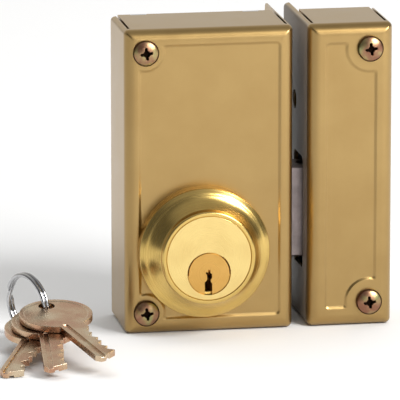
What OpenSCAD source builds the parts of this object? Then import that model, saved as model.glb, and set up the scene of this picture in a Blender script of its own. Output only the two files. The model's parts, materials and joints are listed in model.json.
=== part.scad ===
// Surface-mounted rim deadbolt: a folded sheet-steel lock case with a pin-tumbler
// cylinder, a box strike for the door frame, and three keys on a split ring.
// X runs from the case towards the strike, Y runs into the door, Z is up.
// The origin is the middle of the case's underside.

/* [Lock case] */
// Width of the lock case
case_w = 56.5; // [54:0.5:60]
// Height of the lock case and of the strike
case_h = 102.5; // [98:0.5:110]
// Depth of the case and strike, from their front face to the door
case_d = 30; // [29:0.5:33]
// Depth of the two walls that wrap onto the door edge and the frame
edge_wall_d = 45; // [42:0.5:50]
// Sheet thickness of the case and strike
sheet_t = 1.5; // [1.2:0.1:1.6]
// Outer radius of the folded front edges
bend_r = 3.8; // [3:0.1:4]
// Depth of the recessed front panels
panel_depth = 0.6; // [0.4:0.1:0.8]

/* [Strike] */
// Gap between the case and the strike
strike_gap = 5; // [4:0.5:8]
// Width of the strike
strike_w = 28.5; // [26:0.5:30]

/* [Cylinder] */
// Distance of the cylinder's centre from the case's left side
cyl_x = 25.7; // [25:0.1:27]
// Height of the cylinder's centre
cyl_z = 28.2; // [27.5:0.1:29]
// Outer radius of the trim ring
ring_r = 21.8; // [20:0.1:22]
// How far the cylinder's face stands in front of the case
face_proud = 13; // [11:0.5:14]
// Radius of the cylinder housing at its face
housing_r = 14.2; // [14:0.1:14.5]
// Radius of the plug's front shoulder
plug_r = 7; // [6.8:0.1:7.1]
// How far the plug's axis is below the housing's axis
plug_drop = 5.2; // [5:0.1:5.4]

/* [Bolt] */
// Height of the bolt head
bolt_h = 31; // [28:0.5:31]
// Thickness of the bolt head
bolt_t = 12; // [10:0.5:12]
// Teeth on the pinion that drives the bolt
pinion_teeth = 8; // [8:1:8]
// Module of the pinion and of the rack
gear_module = 0.8; // [0.8:0.01:0.8]

/* [Keys] */
// Diameter of a key's round bow
bow_d = 24; // [22:0.5:25]
// Length of a key's blade past its bow
blade_l = 28; // [26:0.5:30]
// Thickness of a key
key_t = 2.2; // [2:0.1:2.3]
// Mean radius of the split key ring
split_ring_r = 10.5; // [10:0.5:12]

/* [Hidden] */

$fn = 64;
eps = 0.01;

// Colours
satin_gold = [0.74, 0.63, 0.42];
polished_brass = [0.93, 0.77, 0.42];
plug_brass = [0.85, 0.66, 0.35];
steel = [0.62, 0.62, 0.64];
yellow_zinc = [0.80, 0.72, 0.48];
copper_brass = [0.76, 0.57, 0.42];

// Front panels and fixing screws
panel_gap = 4.4;
strike_panel_gap = 5.5;
screw_x = 6.8;
screw_z = 7.4;
strike_screw_x = 8;
strike_screw_z = 8.3;
case_boss_r = 5.8;
strike_boss_r = 7.4;
screw_head_r = 4.3;
screw_head_h = 2.6;
screw_r = 2.1;
screw_l = edge_wall_d;
screw_hole_r = 2.4;
spacer_r = 3.2;
corner_slit = 0.8;
wall_corner_r = 2.5;
slit_start = bend_r + 1;

// Notches in the top and bottom walls, which hold the back plate's tabs
tab_w = 5.5;
tab_x = [6.5, 44.5];
fit_gap = 0.1;

// Strike position and openings
strike_x = case_w + strike_gap;
bolt_z = 21.7;
bolt_y = 12;
bolt_gap = 0.25;
mouth_y = 10.5;
mouth_d = 15.5;
mouth_z = 18;
mouth_h = 38;
mouth_r = 2;
edge_hole_r = 2.25;
edge_hole_y = 38;
edge_hole_z = [14, 88];
wall_hole_r = 3.2;
wall_hole_y = 25;
wall_hole_z = 73;

// Cylinder
axis_z = cyl_z - plug_drop;
ring_land_r = ring_r - 0.05;
rim_proud = 5.3;
rim_round = 0.8;
collar_r = 15.7;
collar_round = 1.1;
band_top = 8.3;
valley_r = 1.9;
housing_body_r = 13.2;
housing_back = 10.2;
housing_step = -1.4;
nut_y = sheet_t;
nut_h = 4;
nut_r = 17;
plug_body_r = 6.5;
shoulder_h = 2;
plug_back = 11.8;
run_gap = 0.03;
pin_count = 5;
pin_pitch = 4;
pin_first_y = -8;
pin_r = 1.4;
chamber_gap = 0.05;
key_pin_top = 6.32;
key_pin_low = [-1.2, -0.3, -1.6, 0.1, -0.8];
driver_low = plug_body_r + run_gap + 0.03;
driver_l = 5;
chamber_top = 17;
cover_t = 1;
cover_w = 4.2;
spring_r = 1;
spring_wire_r = 0.3;
spring_turns = 4;

// Drive
pitch_r = gear_module * pinion_teeth / 2;
tooth_pitch = PI * gear_module;
bolt_throw = tooth_pitch * pinion_teeth;
tooth_add = 0.6;
tooth_ded = 0.75;
rack_y = 16.2;
rack_t = 3;
pitch_z = axis_z + pitch_r;
bar_w = 3.6;
bar_t = 1.6;
pinion_front = 13.3;
hub_y = 19.7;
hub_r = 5;
journal_r = 4;
journal_y = 27.2;
front_journal_r = 2.4;
back_y = case_d - sheet_t;
bush_r = 6;
bush_flange_r = 7.5;
bush_flange_t = 1;

// Bolt
head_x = 52;
nose_x = case_w + bolt_throw;
head_l = nose_x - head_x;
rack_left = 22.4;
rack_top = 47;
tenon_l = 6;
rivet_r = 2;
saw_pin_r = 2.5;
stud_r = 2.5;
stud_x = 27;
stud_z = 40;
stud_head_r = 4;
notch_x = 27;
notch_depth = 1.5;

// Keys
bow_r = bow_d / 2;
hole_x = 7.4;
key_hole_r = 2.7;
blade_low = -3.6;
blade_high = 4;
cut_first = 6.5;
cut_pitch = 4;
wire_r = 0.75;
layer_h = key_t + 0.2;
stack_half = (3 * key_t + 2 * 0.2) / 2;
ring_out_r = split_ring_r + wire_r;
key_reach = hole_x + bow_r + blade_l;
fan = [-15, 3, 24];
ring_turn = 35;
ring_reach = split_ring_r * cos(ring_turn);
stack_lean = asin((ring_out_r - stack_half) / (ring_reach + key_reach * cos(fan[0])));
stack_lift = ring_out_r + 0.03 - ring_reach * sin(stack_lean);
stack_heading = -98;
ring_x = -56;
ring_y = -23;

// ---------------------------------------------------------------- helpers

// Moves the lock's own coordinates to the part's origin
module place() {
    translate([-case_w / 2, -case_d / 2, 0]) children();
}

// Extrudes an outline drawn in X and Z along Y
module along_y(y, length) {
    translate([0, y + length, 0]) rotate([90, 0, 0]) linear_extrude(length) children();
}

// Round bar along Y
module y_bar(x, z, y, length, r) {
    along_y(y, length) translate([x, z]) circle(r);
}

// Turns a profile drawn as radius and Y about an axis along Y
module turned(x, z) {
    translate([x, 0, z]) rotate([-90, 0, 0]) rotate_extrude() children();
}

// Outline of a folded tray seen edge on, with two rounded front corners
module folded_outline(length, depth, r) {
    translate([r, 0]) square([length - 2 * r, depth]);
    translate([0, r]) square([length, depth - r]);
    translate([r, r]) circle(r);
    translate([length - r, r]) circle(r);
}

// Block whose four front edges are rounded
module folded_block(w, h, d, r) {
    intersection() {
        linear_extrude(h) folded_outline(w, d, r);
        translate([w, 0, 0]) rotate([0, -90, 0]) linear_extrude(w) folded_outline(h, d, r);
    }
}

// Outline of a front panel, with an arc cut away round each fixing screw and a
// round land of radius land_r left under the trim ring
module panel_outline(w, h, gap, boss_x, boss_z, boss_r, land_r) {
    difference() {
        translate([gap, gap + 0.5]) square([w - 2 * gap, h - 2 * gap - 1]);
        for (z = [boss_z, h - boss_z]) translate([boss_x, z]) circle(boss_r);
        if (land_r > 0) translate([cyl_x, cyl_z]) circle(land_r);
    }
}

// Rectangle in Y and Z with round corners, cut through along X
module side_cut(x, depth, y, w, z, h, r) {
    translate([x, y, z]) rotate([90, 0, 90]) linear_extrude(depth) {
        translate([r, 0]) square([w - 2 * r, h]);
        translate([0, r]) square([w, h - 2 * r]);
        for (a = [r, w - r], b = [r, h - r]) translate([a, b]) circle(r);
    }
}

// What is cut away to round the free corners of a side wall, at depth y
module wall_corners(x, y, h) {
    r = wall_corner_r;
    for (top = [0, 1]) difference() {
        translate([x, y - r, top ? h - r : -1]) cube([sheet_t + 0.3, r + 1, r + 1]);
        translate([x - 1, y - r, top ? h - r : r]) rotate([0, 90, 0]) cylinder(r = r, h = sheet_t + 3);
    }
}

// Folded sheet box, open at the back, with one wall deeper than the others
module sheet_box(w, h, gap, boss_x, boss_z, boss_r, land_r, deep_right) {
    t = sheet_t;
    shallow_x = deep_right ? -1 : t;
    difference() {
        union() {
            difference() {
                folded_block(w, h, edge_wall_d, bend_r);
                translate([t, t, t])
                    folded_block(w - 2 * t, h - 2 * t, edge_wall_d, bend_r - t);
                translate([shallow_x, case_d, -1]) cube([w + 1 - t, edge_wall_d, h + 2]);
            }
            along_y(t - eps, panel_depth + eps)
                panel_outline(w, h, gap - t / 2, boss_x, boss_z, boss_r - t / 2, land_r - t / 2);
        }
        along_y(-1, 1 + panel_depth) panel_outline(w, h, gap, boss_x, boss_z, boss_r, land_r);
        for (z = [boss_z, h - boss_z]) y_bar(boss_x, z, -1, 2 * t + 2, screw_hole_r);
        for (x = [t, w - t - corner_slit], z = [-1, h - t - 1])
            translate([x, slit_start, z]) cube([corner_slit, edge_wall_d, t + 2]);
        for (z = edge_hole_z)
            translate([-1, edge_hole_y, z]) rotate([0, 90, 0]) cylinder(r = edge_hole_r, h = w + 2);
        wall_corners(-0.2, deep_right ? case_d : edge_wall_d, h);
        wall_corners(w - t - 0.1, deep_right ? edge_wall_d : case_d, h);
    }
}

// Pan head with a cross recess, on a shank with raised thread ridges and a point
module wood_screw(x, z) {
    ridge_pitch = 1.8;
    thread_start = 14;
    tip = 5;
    ridges = floor((screw_l - thread_start - tip) / ridge_pitch);
    sink = 1.3;
    difference() {
        union() {
            turned(x, z) {
                difference() {
                    translate([0, 3.2]) circle(5.8);
                    translate([-10, -10]) square([10, 20]);
                    translate([0, 0]) square([10, 20]);
                    translate([screw_head_r, -10]) square([10, 20]);
                }
                square([screw_r, thread_start]);
                translate([0, thread_start]) square([screw_r - 0.5, screw_l - thread_start - tip]);
                polygon([[0, screw_l - tip], [screw_r - 0.5, screw_l - tip], [0, screw_l]]);
                for (i = [0 : ridges - 1]) translate([0, thread_start + i * ridge_pitch])
                    polygon([[0, 0], [screw_r - 0.5, 0], [screw_r, 0.45], [screw_r - 0.5, 0.9], [0, 0.9]]);
            }
        }
        for (a = [45, 135]) translate([x, -screw_head_h - 1, z]) rotate([0, a, 0])
            translate([-2.4, 0, -0.45]) cube([4.8, 1 + sink, 0.9]);
        turned(x, z) polygon([[0, -4], [2.2, -4], [1.3, -1.2], [0, -0.5]]);
    }
}

// Tube that keeps a fixing screw from crushing the sheet box
module screw_spacer(x, z, length) {
    difference() {
        y_bar(x, z, sheet_t, length, spacer_r);
        y_bar(x, z, sheet_t - 1, length + 2, screw_hole_r);
    }
}

// ---------------------------------------------------------------- lock case

module case_shell() {
    color(satin_gold) place() difference() {
        sheet_box(case_w, case_h, panel_gap, screw_x, screw_z, case_boss_r, ring_land_r, true);
        y_bar(cyl_x, cyl_z, -1, 5, housing_body_r + fit_gap);
        for (x = tab_x, z = [-1, case_h - sheet_t - 1])
            translate([x, back_y, z]) cube([tab_w, sheet_t + 1, sheet_t + 2]);
        side_cut(case_w - sheet_t - 1, sheet_t + 2, bolt_y - bolt_gap, bolt_t + 2 * bolt_gap,
                 bolt_z - bolt_gap, bolt_h + 2 * bolt_gap, 0.6);
    }
}

module back_plate() {
    inset = sheet_t + fit_gap;
    tab_gap = 0.15;
    shelf_x = 6;
    shelf_w = 10;
    shelf_z = 52.6;
    color(steel) place() difference() {
        union() {
            translate([inset, back_y, inset])
                cube([case_w - 2 * inset, sheet_t, case_h - 2 * inset]);
            for (x = tab_x) translate([x + tab_gap, back_y, 0])
                cube([tab_w - 2 * tab_gap, sheet_t, case_h]);
            translate([shelf_x, bolt_y + 2.7, shelf_z]) cube([shelf_w, back_y - bolt_y - 2.7 + eps, sheet_t]);
        }
        for (z = [screw_z, case_h - screw_z]) y_bar(screw_x, z, back_y - 1, 4, screw_hole_r);
        y_bar(cyl_x, axis_z, back_y - 1, 4, bush_r);
        y_bar(stud_x, stud_z, back_y - 1, 4, stud_r);
        for (x = [-3.2, 3.2]) y_bar(cyl_x + x, 9.5, back_y - 1, 4, 1.3);
        translate([shelf_x + 4, rack_y + rack_t / 2, shelf_z - 1]) cylinder(r = 1.3, h = 4);
    }
}

module case_spacers() {
    color(steel) place() for (z = [screw_z, case_h - screw_z])
        screw_spacer(screw_x, z, back_y - sheet_t);
}

module case_screws() {
    color(yellow_zinc) place() for (z = [screw_z, case_h - screw_z]) wood_screw(screw_x, z);
}

// ---------------------------------------------------------------- cylinder

// What is cut away to round the front outer corner of a turned profile
module round_corner(r, y, round_r) {
    difference() {
        translate([r - round_r, y - 1]) square([round_r + 1, round_r + 1]);
        translate([r - round_r, y + round_r]) circle(round_r);
    }
}

// Trim ring in section: a foot, a rounded rim, a sloping band, a valley and a collar
module trim_ring() {
    ledge_r = housing_body_r + fit_gap;
    seat_r = housing_r + 0.05;
    chamfer = 0.25;
    color(polished_brass) place() turned(cyl_x, cyl_z) difference() {
        polygon([[0, 0], [ring_r, 0], [ring_r, -rim_proud + rim_round], [ring_r, -rim_proud],
                 [ring_r - rim_round, -rim_proud], [collar_r, -band_top],
                 [collar_r, -face_proud], [0, -face_proud]]);
        round_corner(ring_r, -rim_proud, rim_round);
        round_corner(collar_r, -face_proud, collar_round);
        translate([collar_r + valley_r + 0.02, -band_top - 0.4]) circle(valley_r);
        polygon([[-1, -face_proud - 1], [seat_r + chamfer + 1, -face_proud - 1],
                 [seat_r, -face_proud + chamfer], [seat_r, housing_step], [ledge_r, housing_step],
                 [ledge_r, 1], [-1, 1]]);
    }
}

// Upright pin chambers, from the plug's bore to under the spring cover
module chambers(low, high, r) {
    for (i = [0 : pin_count - 1])
        translate([cyl_x, pin_first_y + i * pin_pitch, axis_z + low]) cylinder(r = r, h = high - low);
}

module cylinder_housing() {
    chamfer = 0.25;
    color(polished_brass) place() difference() {
        turned(cyl_x, cyl_z) {
            polygon([[0, -face_proud], [housing_r - chamfer, -face_proud],
                     [housing_r, -face_proud + chamfer], [housing_r, housing_step],
                     [housing_body_r, housing_step], [housing_body_r, housing_back], [0, housing_back]]);
        }
        y_bar(cyl_x, axis_z, -face_proud - 1, shoulder_h + 1 + run_gap, plug_r + run_gap);
        y_bar(cyl_x, axis_z, -face_proud, face_proud + housing_back + 1, plug_body_r + run_gap);
        chambers(0, chamber_top + eps, pin_r + chamber_gap);
        translate([cyl_x - cover_w / 2, pin_first_y - 2.2, axis_z + chamber_top])
            cube([cover_w, housing_back - pin_first_y + 3, 4]);
    }
}

module cylinder_nut() {
    flat = 30.5;
    color(steel) place() difference() {
        intersection() {
            y_bar(cyl_x, cyl_z, nut_y, nut_h, nut_r);
            translate([cyl_x - flat / 2, nut_y - 1, cyl_z - nut_r]) cube([flat, nut_h + 2, 2 * nut_r]);
        }
        y_bar(cyl_x, cyl_z, nut_y - 1, nut_h + 2, housing_body_r + fit_gap / 2);
    }
}

// Keyway in section, open at the plug's lower edge
module keyway_outline() {
    translate([cyl_x, axis_z]) polygon([
        [-1.5, -8], [1, -8], [1, -3.4], [0.5, -2.6], [0.5, -2], [0.95, -1.4], [0.95, -0.2],
        [0.4, 0.3], [0.35, 1.3], [-0.35, 1.3], [-0.4, 0.2], [-0.8, 0.7], [-1.2, 0.3],
        [-0.75, -0.5], [-0.7, -2], [-1.5, -2.9]
    ]);
}

module cylinder_plug() {
    clip_y = 10.5;
    clip_t = 0.7;
    groove_r = 5.6;
    color(plug_brass) place() difference() {
        union() {
            y_bar(cyl_x, axis_z, -face_proud, shoulder_h, plug_r);
            y_bar(cyl_x, axis_z, -face_proud, face_proud + plug_back, plug_body_r);
        }
        along_y(-face_proud - 1, face_proud + 10) keyway_outline();
        chambers(-2, plug_body_r + 1, pin_r + chamber_gap);
        difference() {
            y_bar(cyl_x, axis_z, clip_y, clip_t, plug_r + 1);
            y_bar(cyl_x, axis_z, clip_y - 1, clip_t + 2, groove_r);
        }
        translate([cyl_x - bar_w / 2, 10, axis_z - bar_t / 2]) cube([bar_w, 4, bar_t]);
    }
}

module key_pins() {
    tip_h = 0.9;
    tip_r = 0.5;
    color(plug_brass) place() for (i = [0 : pin_count - 1])
        translate([cyl_x, pin_first_y + i * pin_pitch, axis_z + key_pin_low[i]]) {
            translate([0, 0, tip_h]) cylinder(r = pin_r, h = key_pin_top - key_pin_low[i] - tip_h);
            cylinder(r1 = tip_r, r2 = pin_r, h = tip_h);
        }
}

module driver_pins() {
    color(steel) place() chambers(driver_low, driver_low + driver_l, pin_r);
}

module pin_springs() {
    low = driver_low + driver_l + 0.15;
    length = chamber_top - low - 0.1;
    color(steel) place() for (i = [0 : pin_count - 1])
        translate([cyl_x, pin_first_y + i * pin_pitch, axis_z + low])
            linear_extrude(length, twist = 360 * spring_turns, slices = spring_turns * 9, $fn = 6)
                translate([spring_r, 0]) circle(spring_wire_r);
}

module spring_cover() {
    color(polished_brass) place()
        translate([cyl_x - cover_w / 2, pin_first_y - 2.2, axis_z + chamber_top])
            cube([cover_w, housing_back - pin_first_y + 2.2 - 0.3, cover_t]);
}

// Spring clip that holds the plug in the housing
module plug_clip() {
    clip_y = 10.55;
    clip_t = 0.6;
    clip_in = 5.62;
    clip_out = 8.4;
    mouth = 7;
    color(steel) place() along_y(clip_y, clip_t) translate([cyl_x, axis_z]) difference() {
        circle(clip_out);
        circle(clip_in);
        translate([-mouth / 2, -clip_out - 1]) square([mouth, clip_out - 2]);
    }
}

// ---------------------------------------------------------------- drive

module tailpiece() {
    color(steel) place() translate([cyl_x - bar_w / 2, 10.1, axis_z - bar_t / 2])
        cube([bar_w, 9.9, bar_t]);
}

// One pinion tooth, pointing along +Z from the pinion's centre
module pinion_tooth() {
    root_r = pitch_r - tooth_ded;
    tip_r = pitch_r + tooth_add;
    polygon([[-0.62, root_r - 0.4], [0.62, root_r - 0.4], [0.56, root_r], [0.46, pitch_r],
             [0.18, tip_r], [-0.18, tip_r], [-0.46, pitch_r], [-0.56, root_r]]);
}

module drive_pinion() {
    color(steel) place() difference() {
        union() {
            y_bar(cyl_x, axis_z, pinion_front, hub_y - pinion_front, front_journal_r);
            along_y(rack_y - 0.4, hub_y - rack_y + 0.4) translate([cyl_x, axis_z])
                for (i = [0 : pinion_teeth - 1]) rotate((i + 0.5) * 360 / pinion_teeth) pinion_tooth();
            y_bar(cyl_x, axis_z, hub_y, journal_y - hub_y, hub_r);
            y_bar(cyl_x, axis_z, hub_y, case_d - hub_y, journal_r);
        }
        translate([cyl_x - bar_w / 2 - 0.03, 12, axis_z - bar_t / 2 - 0.03])
            cube([bar_w + 0.06, 20, bar_t + 0.06]);
    }
}

module pinion_bush() {
    color(plug_brass) place() difference() {
        union() {
            y_bar(cyl_x, axis_z, back_y, sheet_t, bush_r);
            y_bar(cyl_x, axis_z, back_y - bush_flange_t, bush_flange_t, bush_flange_r);
        }
        y_bar(cyl_x, axis_z, back_y - 3, 6, journal_r + 0.04);
    }
}

// Front bearing of the pinion: a bent strip that comes forward from the back plate
module pinion_bracket() {
    bracket_w = 10.6;
    plate_y = 13.6;
    plate_t = 1.2;
    plate_low = 12.6;
    plate_high = axis_z + 5;
    foot_low = 6.4;
    color(steel) place() difference() {
        union() {
            translate([cyl_x - bracket_w / 2, plate_y, plate_low])
                cube([bracket_w, plate_t, plate_high - plate_low]);
            translate([cyl_x - bracket_w / 2, plate_y, plate_low])
                cube([bracket_w, back_y - plate_y, plate_t]);
            translate([cyl_x - bracket_w / 2, back_y - plate_t, foot_low])
                cube([bracket_w, plate_t, plate_low - foot_low + plate_t]);
        }
        y_bar(cyl_x, axis_z, plate_y - 1, plate_t + 2, front_journal_r + 0.05);
        for (x = [-3.2, 3.2]) y_bar(cyl_x + x, 9.5, back_y - 3, 4, 1.3);
    }
}

// Shank with a low domed head at its front end and a flat one at the back
module rivet_y(x, z, y, length, r, head_r) {
    turned(x, z) {
        translate([0, y]) square([r, length]);
        difference() {
            translate([0, y]) circle(head_r);
            translate([-20, -50]) square([20, 100]);
            translate([0, y]) square([20, 20]);
            translate([0, y - 40]) square([20, 40 - head_r * 0.5]);
        }
    }
}

module bracket_rivets() {
    color(steel) place() for (x = [-3.2, 3.2])
        rivet_y(cyl_x + x, 9.5, back_y - 1.2, sheet_t + 1.2, 1.3, 2.2);
}

// ---------------------------------------------------------------- bolt

module bolt_head() {
    c = 0.6;
    color(steel) place() difference() {
        translate([head_x, bolt_y, bolt_z]) rotate([90, 0, 90]) linear_extrude(head_l)
            polygon([[c, 0], [bolt_t - c, 0], [bolt_t, c], [bolt_t, bolt_h - c],
                     [bolt_t - c, bolt_h], [c, bolt_h], [0, bolt_h - c], [0, c]]);
        translate([head_x - 1, rack_y, bolt_z - 1]) cube([tenon_l + 1, rack_t, bolt_h + 2]);
        for (z = [32, 42]) y_bar(head_x + 3, z, bolt_y - 1, bolt_t + 2, rivet_r);
        for (x = [head_x + 11, head_x + 18])
            translate([x, bolt_y + bolt_t / 2, bolt_z + 1.8]) cylinder(r = saw_pin_r + 0.05, h = bolt_h);
    }
}

// Rack tooth gap, opening downwards
module rack_gap() {
    half = tooth_pitch / 2 - 0.46;
    polygon([[-half - 0.3, -tooth_add - 1], [-half - 0.3, -tooth_add], [-half, 0],
             [-half + 0.3, tooth_ded], [half - 0.3, tooth_ded], [half, 0],
             [half + 0.3, -tooth_add], [half + 0.3, -tooth_add - 1]]);
}

module bolt_rack() {
    gaps = pinion_teeth + 3;
    color(steel) place() difference() {
        translate([rack_left, rack_y, pitch_z - tooth_add])
            cube([head_x + tenon_l - rack_left, rack_t, rack_top - pitch_z + tooth_add]);
        along_y(rack_y - 1, rack_t + 2) {
            for (i = [0 : gaps - 1]) translate([cyl_x + (i - 0.5) * tooth_pitch, pitch_z]) rack_gap();
            for (x = [0, bolt_throw]) translate([notch_x + x, rack_top])
                polygon([[-2, 1], [-0.8, -notch_depth], [0.8, -notch_depth], [2, 1]]);
            translate([stud_x, stud_z]) circle(stud_r + 0.08);
            translate([stud_x + bolt_throw, stud_z]) circle(stud_r + 0.08);
            translate([stud_x, stud_z - stud_r - 0.08]) square([bolt_throw, 2 * stud_r + 0.16]);
        }
        for (z = [32, 42]) y_bar(head_x + 3, z, rack_y - 1, rack_t + 2, rivet_r);
    }
}

module bolt_rivets() {
    color(steel) place() for (z = [32, 42]) y_bar(head_x + 3, z, bolt_y + 0.1, bolt_t - 0.2, rivet_r);
}

module anti_saw_pins() {
    color(steel) place() for (x = [head_x + 11, head_x + 18])
        translate([x, bolt_y + bolt_t / 2, bolt_z + 1.8]) cylinder(r = saw_pin_r, h = bolt_h - 2.8);
}

// Stud in the back plate that the bolt's slot runs on
module guide_stud() {
    gap = 0.15;
    color(steel) place() {
        y_bar(stud_x, stud_z, rack_y - gap - 1.2, case_d - rack_y + gap + 1.2, stud_r);
        y_bar(stud_x, stud_z, rack_y - gap - 1.2, 1.2, stud_head_r);
        y_bar(stud_x, stud_z, rack_y + rack_t + gap, back_y - rack_y - rack_t - gap, stud_head_r);
    }
}

// Leaf spring whose nib drops into the notches of the bolt's rack
module detent_spring() {
    strip_w = 4;
    strip_t = 0.5;
    high = 52.6;
    start = 6.5;
    low = rack_top - notch_depth + 0.15;
    color(steel) place() difference() {
        along_y(rack_y + rack_t / 2 - strip_w / 2, strip_w)
            polygon([[start, high - strip_t], [16.5, high - strip_t], [23.4, rack_top + 0.9],
                     [25.4, rack_top + 0.9], [notch_x - 0.6, low], [notch_x + 0.6, low],
                     [notch_x + 2.6, rack_top + 2.2], [notch_x + 2.1, rack_top + 2.5],
                     [notch_x + 0.3, low + strip_t], [notch_x - 0.3, low + strip_t],
                     [25.7, rack_top + 1.4], [23.7, rack_top + 1.4], [16.8, high], [start, high]]);
        translate([10, rack_y + rack_t / 2, high - 2]) cylinder(r = 1.3, h = 4);
    }
}

module detent_rivet() {
    color(steel) place() translate([10, rack_y + rack_t / 2, 51.3]) {
        cylinder(r = 1.28, h = 3.5);
        cylinder(r = 1.9, h = 0.8);
        translate([0, 0, 2.8]) cylinder(r = 2, h = 0.8);
    }
}

// ---------------------------------------------------------------- strike

module strike_shell() {
    color(satin_gold) place() translate([strike_x, 0, 0]) difference() {
        sheet_box(strike_w, case_h, strike_panel_gap, strike_w - strike_screw_x, strike_screw_z,
                  strike_boss_r, 0, false);
        side_cut(-1, sheet_t + 2, mouth_y, mouth_d, mouth_z, mouth_h, mouth_r);
        translate([-1, wall_hole_y, wall_hole_z]) rotate([0, 90, 0])
            cylinder(r = wall_hole_r, h = sheet_t + 2);
    }
}

// Plate that closes the strike's back and stands on its two spacers
module strike_plate() {
    inset = sheet_t + fit_gap;
    color(steel) place() translate([strike_x, 0, 0]) difference() {
        translate([inset, back_y, inset])
            cube([strike_w - 2 * inset, sheet_t, case_h - 2 * inset]);
        for (z = [strike_screw_z, case_h - strike_screw_z])
            y_bar(strike_w - strike_screw_x, z, back_y - 1, 4, screw_hole_r);
    }
}

module strike_spacers() {
    color(steel) place() for (z = [strike_screw_z, case_h - strike_screw_z])
        screw_spacer(strike_x + strike_w - strike_screw_x, z, back_y - sheet_t);
}

module strike_screws() {
    color(yellow_zinc) place() for (z = [strike_screw_z, case_h - strike_screw_z])
        wood_screw(strike_x + strike_w - strike_screw_x, z);
}

// ---------------------------------------------------------------- keys

// Key lying in X and Y, with its ring hole at the origin and its blade along +X
module flat_key(depths) {
    bow_x = hole_x;
    blade_x = bow_x + bow_r;
    tip_x = blade_x + blade_l;
    difference() {
        linear_extrude(key_t) difference() {
            union() {
                translate([bow_x, 0]) circle(bow_r);
                polygon([[bow_x, blade_low - 1.2], [blade_x, blade_low], [tip_x - 1.6, blade_low],
                         [tip_x, blade_low + 1.4], [tip_x, blade_low + 2.6], [tip_x - 3, blade_high],
                         [blade_x + 3.6, blade_high], [blade_x + 3.2, blade_high + 0.9],
                         [blade_x + 1.6, blade_high + 0.9], [bow_x, blade_high + 1.8]]);
            }
            circle(key_hole_r);
            for (i = [0 : len(depths) - 1])
                translate([blade_x + cut_first + i * cut_pitch, blade_high - depths[i]])
                    polygon([[-0.5, 0], [0.5, 0], [depths[i] + 1.5, depths[i] + 1],
                             [-depths[i] - 1.5, depths[i] + 1]]);
        }
        translate([blade_x - 2, -2.2, key_t - 0.6]) cube([blade_l + 4, 1.5, 1]);
        translate([blade_x - 2, -0.2, -0.4]) cube([blade_l + 4, 1.3, 1]);
    }
}

// Puts a key on the ring: layer counts up from the lowest key, turn fans it out
module on_ring(layer, turn) {
    translate([ring_x, ring_y, stack_lift]) rotate([0, stack_lean, stack_heading])
        translate([0, 0, -stack_half + layer * layer_h]) rotate(turn) children();
}

module key_left() {
    color(copper_brass) on_ring(0, fan[0]) flat_key([1.2, 2.2, 1.4, 2.6, 1.8]);
}

module key_middle() {
    color(copper_brass) on_ring(1, fan[1]) flat_key([1.2, 2.2, 1.4, 2.6, 1.8]);
}

module key_right() {
    color(copper_brass) on_ring(2, fan[2]) flat_key([1.2, 2.2, 1.4, 2.6, 1.8]);
}

// Split ring of two turns, standing up behind the keys
module key_ring() {
    color(steel) on_ring(0, 0) translate([0, 0, stack_half]) rotate(ring_turn)
        translate([-split_ring_r, 0, 0]) rotate([90, 0, 0])
            rotate_extrude() for (y = [-wire_r * 0.9, wire_r * 0.9]) translate([split_ring_r, y]) circle(wire_r);
}

case_shell();
back_plate();
trim_ring();
cylinder_housing();
cylinder_nut();
cylinder_plug();
key_pins();
driver_pins();
pin_springs();
spring_cover();
plug_clip();
tailpiece();
drive_pinion();
pinion_bush();
pinion_bracket();
bracket_rivets();
bolt_head();
bolt_rack();
bolt_rivets();
anti_saw_pins();
guide_stud();
detent_spring();
detent_rivet();
case_spacers();
case_screws();
strike_shell();
strike_plate();
strike_spacers();
strike_screws();
key_ring();
key_left();
key_middle();
key_right();
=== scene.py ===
"""Looks of the rim deadbolt: folded sheet shells, turned brass, screws, keys and their materials."""

import json
import math

import bmesh
import bpy
import numpy as np
from mathutils import Matrix, Vector


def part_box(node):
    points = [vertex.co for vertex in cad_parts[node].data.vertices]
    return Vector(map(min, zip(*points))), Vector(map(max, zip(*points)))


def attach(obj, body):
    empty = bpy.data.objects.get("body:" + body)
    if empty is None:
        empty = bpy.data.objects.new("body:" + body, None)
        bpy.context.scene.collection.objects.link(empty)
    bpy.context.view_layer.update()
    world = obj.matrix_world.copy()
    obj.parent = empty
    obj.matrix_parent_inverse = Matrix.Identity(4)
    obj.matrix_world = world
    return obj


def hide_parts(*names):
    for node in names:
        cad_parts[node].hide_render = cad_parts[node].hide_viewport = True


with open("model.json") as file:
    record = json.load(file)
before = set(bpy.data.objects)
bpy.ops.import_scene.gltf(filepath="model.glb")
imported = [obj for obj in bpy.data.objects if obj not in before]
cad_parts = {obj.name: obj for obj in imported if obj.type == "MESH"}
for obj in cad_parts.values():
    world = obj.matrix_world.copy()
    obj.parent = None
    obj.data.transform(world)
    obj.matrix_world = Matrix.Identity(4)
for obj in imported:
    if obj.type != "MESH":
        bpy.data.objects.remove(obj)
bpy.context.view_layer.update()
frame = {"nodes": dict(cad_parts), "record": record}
record = frame["record"]
BODY_OF = {node: body for body, nodes in record["behaviour"]["bodies"].items() for node in nodes}
SLOT_OF = {part["node"]: part["material_slot"] for part in record["subparts"]}
MM = 0.001

# ---------------------------------------------------------------- sizes in mm that no node's box gives

# Sheet shells
SHEET = 1.5
BEND = 3.8
PANEL_DEPTH = 0.46
CASE_PANEL_GAP = 4.4
CASE_BOSS_R = 5.8
STRIKE_PANEL_GAP = 5.5
STRIKE_BOSS_R = 7.4
CORNER_SLIT = 0.8
WALL_CORNER_R = 2.5
NOTCH_X = (6.5, 44.5)
NOTCH_W = 5.5
SCREW_HOLE_R = 2.4
CYLINDER_HOLE_R = 13.3
BOLT_GAP = 0.25
EDGE_HOLE_R = 2.25
EDGE_HOLE_Y = 38.0
EDGE_HOLE_Z = (14.0, 88.0)

# Where a cutter starts and ends that goes through a front
THROUGH_FRONT = (-1.0, 4.0)

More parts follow.
